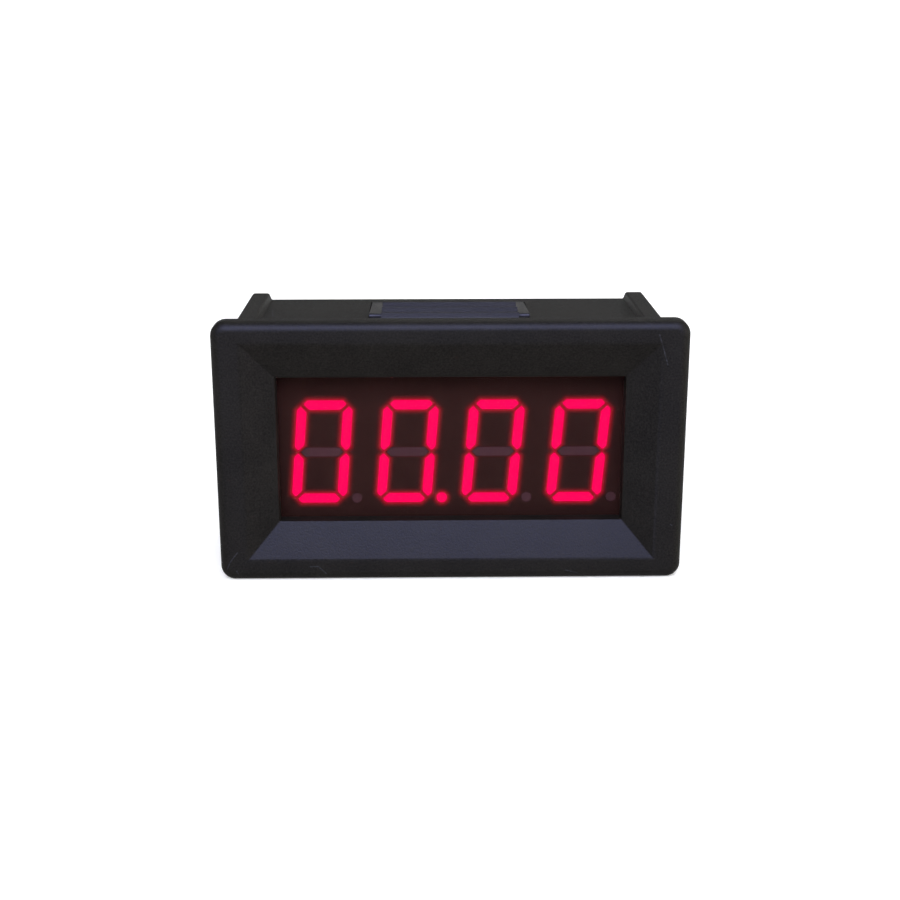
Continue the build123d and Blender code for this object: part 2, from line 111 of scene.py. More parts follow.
# The star-shaped scuff on the body's top, its middle and its tips (x, y) in mm
TOP_Z = 11.87
SCUFF_MIDDLE = (-18.95, 10.25)
SCUFF_TIPS = ((-19.33, 13.8), (-18.87, 11.3), (-19.37, 10.5), (-19.69, 9.95))
SCUFF_TIPS += ((-18.46, 9.93), (-18.0, 9.65))


def linear(code, alpha=1.0):
    """An sRGB colour, written as #rrggbb, as linear red, green, blue and alpha."""
    parts = [int(code[i : i + 2], 16) / 255 for i in (1, 3, 5)]
    parts = [c / 12.92 if c <= 0.04045 else ((c + 0.055) / 1.055) ** 2.4 for c in parts]
    return (*parts, alpha)


# Node helpers


def connect(tree, node, inputs):
    """Fills a node's inputs, named or numbered, with values or with other nodes."""
    for key, value in inputs.items():
        if isinstance(key, int):
            socket = node.inputs[key]
        else:
            socket = next(s for s in node.inputs if s.enabled and s.name == key)
        if isinstance(value, bpy.types.Node):
            value = next(s for s in value.outputs if s.enabled)
        if isinstance(value, bpy.types.NodeSocket):
            tree.links.new(value, socket)
        else:
            socket.default_value = value


def add(tree, kind, inputs=None, **settings):
    """Adds a node, whose kind may leave out the tree's, and fills in what it holds."""
    if not kind.startswith("Node"):
        kind = tree.bl_idname.removesuffix("Tree") + kind
    made = tree.nodes.new(kind)
    for name, value in settings.items():
        setattr(made, name, value)
    connect(tree, made, inputs or {})
    return made


def new_material(name):
    """A material with an empty Principled shader, and the parts that fill it."""
    made = bpy.data.materials.new(name)
    made.use_nodes = True
    tree = made.node_tree
    shader = next(n for n in tree.nodes if n.type == "BSDF_PRINCIPLED")
    place = add(tree, "TexCoord").outputs["Object"]
    return made, tree, shader, place


# Mesh helpers


def merged(node):
    """A node's mesh as a bmesh, with its loose triangles joined into faces."""
    bm = bmesh.new()
    bm.from_mesh(frame["nodes"][node].data)
    bmesh.ops.remove_doubles(bm, verts=bm.verts, dist=0.5e-6)
    flat = math.radians(0.5)
    bmesh.ops.dissolve_limit(bm, angle_limit=flat, verts=bm.verts, edges=bm.edges)
    return bm


def to_mesh(bm, name, material, smooth=None):
    """Turns a bmesh into a mesh with a material, smooth below an angle in degrees."""
    mesh = bpy.data.meshes.new(name)
    bm.to_mesh(mesh)
    bm.free()
    mesh.materials.append(material)
    if smooth is not None:
        mesh.shade_smooth()
        mesh.set_sharp_from_angle(angle=math.radians(smooth))
    return mesh


def new_object(name, data):
    """An object that carries its data into the scene."""
    made = bpy.data.objects.new(name, data)
    bpy.context.scene.collection.objects.link(made)
    return made


def piece(name, mesh, node, stands_for=True):
    """A finished piece on the body of a CAD node, which it may stand for."""
    made = new_object(name, mesh)
    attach(made, BODY[node])
    if stands_for:
        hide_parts(node)
    return made


def baked(holder, name):
    """The plain mesh that an object's modifiers make, once the object is gone."""
    graph = bpy.context.evaluated_depsgraph_get()
    mesh = bpy.data.meshes.new_from_object(holder.evaluated_get(graph), depsgraph=graph)
    bpy.data.objects.remove(holder)
    mesh.name = name
    return mesh


def shade(mesh):
    """Sets normals that keep large faces flat and bend the small ones between them."""
    limit = math.cos(math.radians(50.0))
    weighted = [face.normal * face.area for face in mesh.polygons]
    around = [[] for _ in mesh.vertices]
    for face in mesh.polygons:
        for vert in face.vertices:
            around[vert].append(face.index)
    normals = []
    for face in mesh.polygons:
        for vert in face.vertices:
            close = (i for i in around[vert] if mesh.polygons[i].normal.dot(face.normal) > limit)
            normals.append(sum((weighted[i] for i in close), Vector()).normalized())
    mesh.shade_smooth()
    mesh.normals_split_custom_set(normals)


def rounded(bm, name, material, width, segments=2):
    """A bmesh as a mesh whose sharp edges are rounded."""
    holder = new_object(name + "_holder", to_mesh(bm, name, material))
    edge = holder.modifiers.new("Rounded edges", "BEVEL")
    edge.width = width
    edge.segments = segments
    edge.limit_method = "ANGLE"
    edge.angle_limit = math.radians(35.0)
    edge.use_clamp_overlap = True
    edge.miter_outer = "MITER_ARC"
    mesh = baked(holder, name)
    shade(mesh)
    return mesh


def softened(node, material, width, segments=2):
    """A copy of a node with its sharp edges rounded, which stands for the node."""
    name = node + "_finished"
    piece(name, rounded(merged(node), name, material, width, segments), node)


def islands(bm):
    """The separate solids of a bmesh, as lists of its points."""
    left = set(bm.verts)
    found = []
    while left:
        todo = [left.pop()]
        group = []
        while todo:
            vert = todo.pop()
            group.append(vert)
            for edge in vert.link_edges:
                other = edge.other_vert(vert)
                if other in left:
                    left.remove(other)
                    todo.append(other)
        found.append(group)
    found.sort(key=lambda g: min((round(v.co.x, 6), round(v.co.z, 6)) for v in g))
    return found


def copies_tree():
    """Puts a copy of a piece on each point, and gives the copies their finish."""
    tree = bpy.data.node_groups.new("Copies on points", "GeometryNodeTree")
    for name, kind in (
        ("Points", "NodeSocketGeometry"),
        ("Piece", "NodeSocketObject"),
        ("Size", "NodeSocketFloat"),
        ("Finish", "NodeSocketMaterial"),
    ):
        tree.interface.new_socket(name, in_out="INPUT", socket_type=kind)
    tree.interface.new_socket("Copies", in_out="OUTPUT", socket_type="NodeSocketGeometry")
    given = add(tree, "NodeGroupInput").outputs
    source = add(tree, "ObjectInfo", {"Object": given["Piece"]})
    copies = add(
        tree,
        "InstanceOnPoints",
        {"Points": given["Points"], "Instance": source.outputs["Geometry"], "Scale": given["Size"]},
    )
    plain = add(tree, "RealizeInstances", {"Geometry": copies})
    dressed = add(tree, "SetMaterial", {"Geometry": plain, "Material": given["Finish"]})
    add(tree, "NodeGroupOutput", {"Copies": dressed})
    return tree


def repeated(name, template, places, material):
    """A plain mesh with a copy of a template at each place, made by Geometry Nodes."""
    points = bpy.data.meshes.new(name + "_places")
    points.from_pydata([tuple(p) for p in places], [], [])
    holder = new_object(points.name, points)
    source = new_object(template.name, template)
    tree = copies_tree()
    step = holder.modifiers.new("Copies on points", "NODES")
    step.node_group = tree
    values = {"Piece": source, "Size": 1.0, "Finish": material}
    for item in tree.interface.items_tree:
        if item.in_out == "INPUT" and item.name in values:
            step[item.identifier] = values[item.name]
    mesh = baked(holder, name)
    bpy.data.objects.remove(source)
    mesh.shade_smooth()
    mesh.set_sharp_from_angle(angle=math.radians(40.0))
    return mesh


def revolved(profile, turns, upright=False):
    """Rings of faces turned from a profile of (radius, height), about Y or about Z."""
    bm = bmesh.new()
    rings = []
    for radius, height in profile:
        ring = []
        for i in range(turns):
            angle = i / turns * 2 * math.pi
            a, b = radius * math.cos(angle), radius * math.sin(angle)
            ring.append(bm.verts.new((a, b, height) if upright else (a, height, b)))
        rings.append(ring)
    for low, high in zip(rings, rings[1:]):
        for i in range(turns):
            after = (i + 1) % turns
            bm.faces.new((low[i], high[i], high[after], low[after]))
    bm.faces.new(rings[0])
    return bm, rings


def turned(name, profile, turns=24):
    """A closed form turned about the Y axis, from a profile of (radius, depth)."""
    bm, rings = revolved(profile, turns)
    bm.faces.new(rings[-1])
    bmesh.ops.recalc_face_normals(bm, faces=bm.faces)
    mesh = bpy.data.meshes.new(name)
    bm.to_mesh(mesh)
    bm.free()
    return mesh


def walls(bm, under, over):
    """Faces all round between two closed rows of points."""
    for i in range(len(under)):
        after = (i + 1) % len(under)
        bm.faces.new((under[i], under[after], over[after], over[i]))


def slab(bm, low_outline, high_outline, low, high):
    """A thin closed solid between two outlines of (x, z), at two depths."""
    under = [bm.verts.new((x, low, z)) for x, z in low_outline]
    over = [bm.verts.new((x, high, z)) for x, z in high_outline]
    bm.faces.new(under)
    bm.faces.new(over)
    walls(bm, under, over)


def ribbon(bm, points, width, low, high):
    """A thin closed strip that follows points (x, z) in mm, with mitred corners."""
    spots = [Vector(p) * MM for p in points]
    left, right = [], []
    for i, spot in enumerate(spots):
        before = (spot - spots[i - 1]).normalized() if i else None
        after = (spots[i + 1] - spot).normalized() if i + 1 < len(spots) else None
        before, after = before or after, after or before
        along = (before + after).normalized()
        side = Vector((-along.y, along.x))
        half = width / 2 / max(0.5, side.dot(Vector((-before.y, before.x))))
        left.append(spot + side * half)
        right.append(spot - side * half)
    outline = left + right[::-1]
    under = [bm.verts.new((p.x, low, p.y)) for p in outline]
    over = [bm.verts.new((p.x, high, p.y)) for p in outline]
    count = len(outline)
    for i in range(len(spots) - 1):
        j = count - 1 - i
        bm.faces.new((under[i], under[i + 1], under[j - 1], under[j]))
        bm.faces.new((over[i], over[i + 1], over[j - 1], over[j]))
    walls(bm, under, over)


def bent(points, cut=0.5):
    """A route whose square corners are cut at 45 degrees, as a board's tracks are."""
    route = [Vector(points[0])]
    for before, corner, after in zip(points, points[1:], points[2:]):
        here = Vector(corner)
        back, on = Vector(before) - here, Vector(after) - here
        reach = min(cut, back.length / 2, on.length / 2)
        route.append(here + back.normalized() * reach)
        route.append(here + on.normalized() * reach)
    route.append(Vector(points[-1]))
    return route


# Materials

# Most values of a noise lie between these
NOISE = {"From Min": 0.3, "From Max": 0.7}


def finish(tree, shader, colour, sheen, grain, depth, strength, more=None):
    """Fills a shader with a colour, a sheen, and a relief of a depth in mm."""
    normal = add(tree, "Bump", {"Height": grain, "Distance": depth * MM, "Strength": strength})
    looks = {"Base Color": colour, "Roughness": sheen, "Normal": normal}
    connect(tree, shader, {**looks, **(more or {})})


def scratch(tree, place, start, end, width):
    """How much a point is on a scratch between two points, from 0 to 1."""
    start, run = Vector(start), Vector(end) - Vector(start)
    away = add(tree, "VectorMath", {0: place, 1: start}, operation="SUBTRACT")
    share = add(tree, "VectorMath", {0: away, 1: run / run.length_squared}, operation="DOT_PRODUCT")
    share = add(tree, "Math", {0: share, 1: 0.0}, operation="ADD", use_clamp=True)
    nearest = add(tree, "VectorMath", {0: run, "Scale": share}, operation="SCALE")
    gap = add(tree, "VectorMath", {0: away, 1: nearest}, operation="DISTANCE")
    return add(tree, "MapRange", {"Value": gap, "From Max": width, "To Min": 1.0, "To Max": 0.0})


def case_material(settings, name, gloss):
    """Black ABS, moulded in a spark-eroded tool: fine even grain and a dull sheen."""
    made, tree, shader, place = new_material(name)
    # The real grain is about 0.1 mm; it is drawn coarser so that it shows
    fine = {"Vector": place, "Scale": 1 / settings.grain_size, "Detail": 3.0, "Roughness": 0.65}
    grain = add(tree, "TexNoise", fine)
    cloud = add(tree, "TexNoise", {"Vector": place, "Scale": 1 / (4 * MM), "Detail": 3.0})
    speck = add(tree, "MapRange", {"Value": grain, **NOISE, "To Max": 0.75})
    patch = add(tree, "MapRange", {"Value": cloud, **NOISE, "To Max": 0.25})
    share = add(tree, "Math", {0: speck, 1: patch}, operation="ADD")
    dark = settings.colour
    pale = [min(1.0, c * settings.grain_contrast) for c in dark]
    shades = {"Factor": share, "A": (*dark, 1.0), "B": (*pale, 1.0)}
    plastic = add(tree, "Mix", shades, data_type="RGBA")
    # Scratches and a scuff, where the black plastic is whitened
    ends = [
        ((ax * MM, FRONT_Y, az * MM), (bx * MM, FRONT_Y, bz * MM))
        for (ax, az), (bx, bz) in FRONT_MARKS
    ]
    middle = (SCUFF_MIDDLE[0] * MM, SCUFF_MIDDLE[1] * MM, TOP_Z * MM)
    ends += [(middle, (x * MM, y * MM, TOP_Z * MM)) for x, y in SCUFF_TIPS]
    worn = scratch(tree, place, *ends[0], settings.scratch_width)
    for start, end in ends[1:]:
        mark = scratch(tree, place, start, end, settings.scratch_width)
        worn = add(tree, "Math", {0: worn, 1: mark}, operation="MAXIMUM")
    # The tops of the grain are scratched, the hollows between them less
    tops = {"Value": grain, "From Min": 0.35, "From Max": 0.6, "To Min": 0.2}
    broken = add(tree, "MapRange", tops)
    worn = add(tree, "Math", {0: worn, 1: broken}, operation="MULTIPLY")
    shades = {"Factor": worn, "A": plastic, "B": linear("#323338")}
    colour = add(tree, "Mix", shades, data_type="RGBA")
    sheen = add(tree, "MapRange", {"Value": grain, **NOISE, "To Min": 0.42, "To Max": 0.54})
    more = {"IOR": 1.54, "Specular IOR Level": gloss}
    finish(tree, shader, colour, sheen, grain, 0.035, 0.8, more)
    return made


def window_material(settings):
    """Red-brown tinted acrylic sheet, cast with a matt face that hides the unlit bars."""
    made, tree, shader, place = new_material("tinted acrylic, matt cast")
    cloud = add(tree, "TexNoise", {"Vector": place, "Scale": 1 / (6 * MM), "Detail": 2.0})
    fine = add(tree, "TexNoise", {"Vector": place, "Scale": 1 / (0.1 * MM), "Detail": 2.0})
    tint = (*settings.window_colour, 1.0)
    warm = (*[min(1.0, c * 1.25) for c in settings.window_colour], 1.0)
    colour = add(tree, "Mix", {"Factor": cloud, "A": tint, "B": warm}, data_type="RGBA")
    sheen = add(tree, "MapRange", {"Value": fine, **NOISE, "To Min": 0.22, "To Max": 0.3})
    more = {"Alpha": settings.window_cover, "IOR": 1.49, "Specular IOR Level": 0.006}
    finish(tree, shader, colour, sheen, fine, 0.001, 0.3, more)
    return made


def face_material(settings):
    """Black face paint over a reflector, and a painted red glow where light would leak past a lit
    bar.
    """
    made, tree, shader, place = new_material("display face, screen-printed matt black")
    away = add(tree, "Attribute", attribute_name="bar_distance").outputs["Fac"]
    reach = {"Value": away, "From Max": settings.glow_reach, "To Min": 1.0, "To Max": 0.0}
    near = add(tree, "MapRange", reach)
    soft = add(tree, "Math", {0: near, 1: settings.glow_falloff}, operation="POWER")
    glow = add(tree, "Math", {0: soft, 1: settings.glow_strength}, operation="MULTIPLY")
    fine = add(tree, "TexNoise", {"Vector": place, "Scale": 1 / (0.08 * MM)})
    shades = {"Factor": fine, "A": linear("#382421"), "B": linear("#3e2825")}
    colour = add(tree, "Mix", shades, data_type="RGBA")
    more = {"Emission Color": PAINTED_GLOW_COLOUR, "Emission Strength": glow}
    more["Specular IOR Level"] = BEHIND_WINDOW
    finish(tree, shader, colour, 0.7, fine, 0.004, 0.4, more)
    return made


def lit_material(settings):
    """Milky epoxy over a lit chip: an even magenta red that fades at its rim."""
    made, tree, shader, place = new_material("display bar, milky epoxy, lit")
    inward = add(tree, "Attribute", attribute_name="rim_distance").outputs["Fac"]
    rim = {"Value": inward, "From Max": settings.rim_fade, "To Min": 0.65}
    fade = add(tree, "MapRange", rim, interpolation_type="SMOOTHSTEP")
    cloud = add(tree, "TexNoise", {"Vector": place, "Scale": 1 / (0.5 * MM)})
    dim, bright = settings.lit_strength * 0.94, settings.lit_strength * 1.06
    even = add(tree, "MapRange", {"Value": cloud, **NOISE, "To Min": dim, "To Max": bright})
    light = add(tree, "Math", {0: fade, 1: even}, operation="MULTIPLY")
    looks = {"Base Color": linear("#2a0408"), "Roughness": 0.5}
    looks |= {"Emission Color": (*settings.lit_colour, 1.0), "Emission Strength": light}
    connect(tree, shader, {**looks, "Specular IOR Level": BEHIND_WINDOW})
    return made


def unlit_material(settings):
    """Milky epoxy with no light behind it, a faint pink through the window."""
    made, tree, shader, place = new_material("display bar, milky epoxy, unlit")
    inward = add(tree, "Attribute", attribute_name="rim_distance").outputs["Fac"]
    rim = {"Value": inward, "From Max": settings.rim_fade}
    fade = add(tree, "MapRange", rim, interpolation_type="SMOOTHSTEP")
    fine = add(tree, "TexNoise", {"Vector": place, "Scale": 1 / (0.2 * MM)})
    shades = {"Factor": fine, "A": linear("#5a3c44"), "B": linear("#62444b")}
    milk = add(tree, "Mix", shades, data_type="RGBA")
    colour = add(tree, "Mix", {"Factor": fade, "A": linear("#4a3032"), "B": milk}, data_type="RGBA")
    sheen = add(tree, "MapRange", {"Value": fine, **NOISE, "To Min": 0.4, "To Max": 0.5})
    looks = {"Base Color": colour, "Roughness": sheen}
    connect(tree, shader, {**looks, "Specular IOR Level": BEHIND_WINDOW})
    return made


def grained(name, low, high, size, rough, metallic=0.0, depth=0.004):
    """A finish of two close colours, with a fine grain; size and depth are in mm."""
    made, tree, shader, place = new_material(name)
    grain = add(tree, "TexNoise", {"Vector": place, "Scale": 1 / (size * MM), "Detail": 3.0})
    share = add(tree, "MapRange", {"Value": grain, **NOISE})
    shades = {"Factor": share, "A": linear(low), "B": linear(high)}
    colour = add(tree, "Mix", shades, data_type="RGBA")
    sheen = add(tree, "MapRange", {"Value": share, "To Min": rough[0], "To Max": rough[1]})
    finish(tree, shader, colour, sheen, grain, depth, 0.5, {"Metallic": metallic})
    return made


def board_material(settings):
    """Glass-fibre laminate under green solder mask, with bare edges where it was routed."""
    made, tree, shader, place = new_material("glass laminate, green solder mask")
    weave = add(tree, "TexNoise", {"Vector": place, "Scale": 1 / (0.5 * MM), "Detail": 3.0})
    dark = (*settings.mask_colour, 1.0)
    pale = (*[min(1.0, c * 1.35) for c in settings.mask_colour], 1.0)
    mask = add(tree, "Mix", {"Factor": weave, "A": dark, "B": pale}, data_type="RGBA")
    shades = {"Factor": weave, "A": linear("#8d8452"), "B": linear("#a89e6c")}
    bare = add(tree, "Mix", shades, data_type="RGBA")
    # The mask is only on the faces that look to the front or the rear
    facing = add(tree, "TexCoord").outputs["Normal"]
    depth = add(tree, "SeparateXYZ", {"Vector": facing}).outputs["Y"]
    flat = add(tree, "Math", {0: depth}, operation="ABSOLUTE")
    cover = add(tree, "Math", {0: flat, 1: 0.5}, operation="GREATER_THAN")
    colour = add(tree, "Mix", {"Factor": cover, "A": bare, "B": mask}, data_type="RGBA")
    sheen = add(tree, "MapRange", {"Value": cover, "To Min": 0.6, "To Max": 0.24})
    finish(tree, shader, colour, sheen, weave, 0.004, 0.4)
    return made


def copper_material(colour):
    """Solder mask over copper: paler and smoother than over the bare laminate."""
    made, tree, shader, place = new_material("copper under green solder mask")
    fine = add(tree, "TexNoise", {"Vector": place, "Scale": 1 / (0.3 * MM)})
    shades = {"Factor": fine, "A": (*colour, 1.0), "B": (*[c * 1.2 for c in colour], 1.0)}
    mask = add(tree, "Mix", shades, data_type="RGBA")
    sheen = add(tree, "MapRange", {"Value": fine, "To Min": 0.15, "To Max": 0.3})
    connect(tree, shader, {"Base Color": mask, "Roughness": sheen})
    return made


def can_material():
    """Drawn aluminium with a satin sheen, and a printed dark sector on the minus side."""
    made, tree, shader, place = new_material("aluminium, drawn and printed")
    low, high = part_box("capacitor_can")
    middle = (Vector(low) + Vector(high)) / 2
    radius = (high[0] - low[0]) / 2
    grain = add(tree, "TexNoise", {"Vector": place, "Scale": 1 / (0.1 * MM), "Detail": 3.0})
    shades = {"Factor": grain, "A": linear("#b0b2b5"), "B": linear("#c9cbcd")}
    metal = add(tree, "Mix", shades, data_type="RGBA")
    # The print is on the upper part of the flat end
    across = add(tree, "SeparateXYZ", {"Vector": place})
    part = {0: across.outputs["Z"], 1: middle.z + radius * 0.3}
    side = add(tree, "Math", part, operation="GREATER_THAN")
    part = {0: across.outputs["Y"], 1: high[1] - 0.1 * MM}
    top = add(tree, "Math", part, operation="GREATER_THAN")
    cover = add(tree, "Math", {0: side, 1: top}, operation="MULTIPLY")
    shades = {"Factor": cover, "A": metal, "B": linear("#1d1e22")}
    colour = add(tree, "Mix", shades, data_type="RGBA")
    sheen = add(tree, "MapRange", {"Value": cover, "To Min": 0.28, "To Max": 0.45})
    bare = add(tree, "MapRange", {"Value": cover, "To Min": 1.0, "To Max": 0.0})
    finish(tree, shader, colour, sheen, grain, 0.002, 0.4, {"Metallic": bare})
    return made


# Settings

LENGTH = {"unit": "LENGTH", "precision": 6}
COLOUR = {"subtype": "COLOR", "size": 3, "min": 0.0, "max": 1.0}
SHARE = {"subtype": "FACTOR", "min": 0.0, "max": 1.0}


class MeterCaseSettings(bpy.types.PropertyGroup):
    """Sizes and colours of the moulded case and its latches."""

    colour: FloatVectorProperty(
        name="Plastic", description="Colour of the moulded black plastic",
        default=linear("#0e0d0b")[:3], **COLOUR,
    )
    grain_size: FloatProperty(
        name="Grain", description="Width of one grain of the mould's texture",
        default=0.2 * MM, **LENGTH,
    )
    grain_contrast: FloatProperty(
        name="Grain contrast", description="How much paler the tops of the grain are",
        min=1.0, default=3.4,
    )
    gloss: FloatProperty(
        name="Gloss", description="Strength of the plastic's reflection, 0.5 is polished",
        default=0.03, **SHARE,
    )
    latch_gloss: FloatProperty(
        name="Latch gloss",
        description="The same for the latches, whose tool is polished so that they slide",
        default=0.07, **SHARE,
    )
    scratch_width: FloatProperty(
        name="Scratch width", description="Half the width of the whitened scratches",
        default=0.09 * MM, **LENGTH,
    )
    edge_radius: FloatProperty(
        name="Edge radius",
        description="Most rounding of the moulded edges; short edges hold it smaller",
        default=0.1 * MM, **LENGTH,
    )
    tooth_radius: FloatProperty(
        name="Tooth radius", description="Rounding of the latches' edges and teeth",
        default=0.03 * MM, **LENGTH,
    )


class MeterDisplaySettings(bpy.types.PropertyGroup):
    """Colours and light of the window, the display's face and its bars."""

    window_colour: FloatVectorProperty(
        name="Window", description="Tint of the window's plastic",
        default=linear("#22100e")[:3], **COLOUR,
    )
    window_cover: FloatProperty(
        name="Window cover",
        description="Share of the light that each face of the window holds back",
        default=0.2, **SHARE,
    )
    lit_colour: FloatVectorProperty(
        name="Lit bars", description="Colour of the light from the lit bars",
        default=(1.0, 0.0, 0.085), **COLOUR,
    )
    lit_strength: FloatProperty(
        name="Brightness", description="Strength of the lit bars, where 1 is white on the screen",
        min=0.0, default=1.9,
    )
    rim_fade: FloatProperty(
        name="Rim fade", description="How far in from its rim a bar reaches its full brightness",
        default=0.1 * MM, **LENGTH,
    )
    # The red glow round a lit bar is painted on the display's face as emission
    glow_reach: FloatProperty(
        name="Glow reach", description="How far light leaks round a lit bar",
        default=0.85 * MM, **LENGTH,
    )
    glow_strength: FloatProperty(
        name="Glow", description="Strength of the leaked light beside a lit bar",
        min=0.0, default=0.75,
    )
    glow_falloff: FloatProperty(
        name="Glow falloff", description="How steeply the leaked light fades, 1 is even",
        min=1.0, default=3.7,
    )


class MeterBoardSettings(bpy.types.PropertyGroup):
    """Colours and sizes of what is printed and plated on the circuit board."""

    mask_colour: FloatVectorProperty(
        name="Solder mask", description="Colour of the board's solder mask",
        default=linear("#0e3d25")[:3], **COLOUR,
    )
    track_width: FloatProperty(
        name="Track width", description="Width of a signal track", default=0.2 * MM, **LENGTH
    )
    supply_width: FloatProperty(
        name="Supply track width", description="Width of a supply track", default=0.8 * MM, **LENGTH
    )
    print_width: FloatProperty(
        name="Print width", description="Width of the white outlines round the parts",
        default=0.15 * MM, **LENGTH,
    )


class MeterStageSettings(bpy.types.PropertyGroup):
    """The colour of the floor and the backdrop, and the room light."""

    floor_colour: FloatVectorProperty(
        name="Floor", description="Colour of the floor and the backdrop",
        default=(0.8, 0.8, 0.8), **COLOUR,
    )
    sky: FloatProperty(
        name="Room light", description="Strength of the even light from all round",
        min=0.0, default=0.3,
    )


# Geometry of the display's face


def front_faces(bm, depth):
    """The faces that look to the front at a depth."""
    facing = [face for face in bm.faces if face.normal.y < -0.99]
    return [face for face in facing if abs(face.calc_center_median().y - depth) < 2 * TOUCH]


def rim_ends(bm, depth):
    """The rim of the flat front at a depth, as its edges and their two ends (x, z)."""
    front = set(front_faces(bm, depth))
    rim = [e for e in bm.edges if sum(f in front for f in e.link_faces) == 1]
    starts = np.array([(e.verts[0].co.x, e.verts[0].co.z) for e in rim])
    ends = np.array([(e.verts[1].co.x, e.verts[1].co.z) for e in rim])
    return rim, starts, ends


def inside(points, starts, ends):
    """Whether each point is inside the closed outlines, by counting crossings."""
    px, pz = points[:, 0:1], points[:, 1:2]
    ax, az = starts[:, 0], starts[:, 1]
    bx, bz = ends[:, 0], ends[:, 1]
    spans = (az > pz) != (bz > pz)
    with np.errstate(divide="ignore", invalid="ignore"):
        cross = ax + (pz - az) * (bx - ax) / (bz - az)
    return (spans & (px < cross)).sum(axis=1) % 2 == 1


def distance(points, starts, ends):
    """The distance from each point to the nearest of the edges."""
    best = np.full(len(points), np.inf)
    for start, end in zip(starts, ends):
        run = end - start
        share = np.clip(((points - start) @ run) / (run @ run), 0, 1)
        gap = np.linalg.norm(points - start - share[:, None] * run, axis=1)
        best = np.minimum(best, gap)
    return best


# Operators


class METER_OT_case(bpy.types.Operator):
    """Rounds the edges of the moulded case and its latches and gives them their grain."""

    bl_idname = "panel_meter.case"
    bl_label = "Case"

    def execute(self, context):
        settings = context.scene.meter_case
        finish = case_material(settings, "black ABS, spark-eroded mould", settings.gloss)
        smooth = case_material(settings, "black ABS, polished mould", settings.latch_gloss)
        softened("case", finish, settings.edge_radius)
        softened("latch_tongue_top", smooth, settings.tooth_radius)
        softened("latch_tongue_bottom", smooth, settings.tooth_radius)
        return {"FINISHED"}


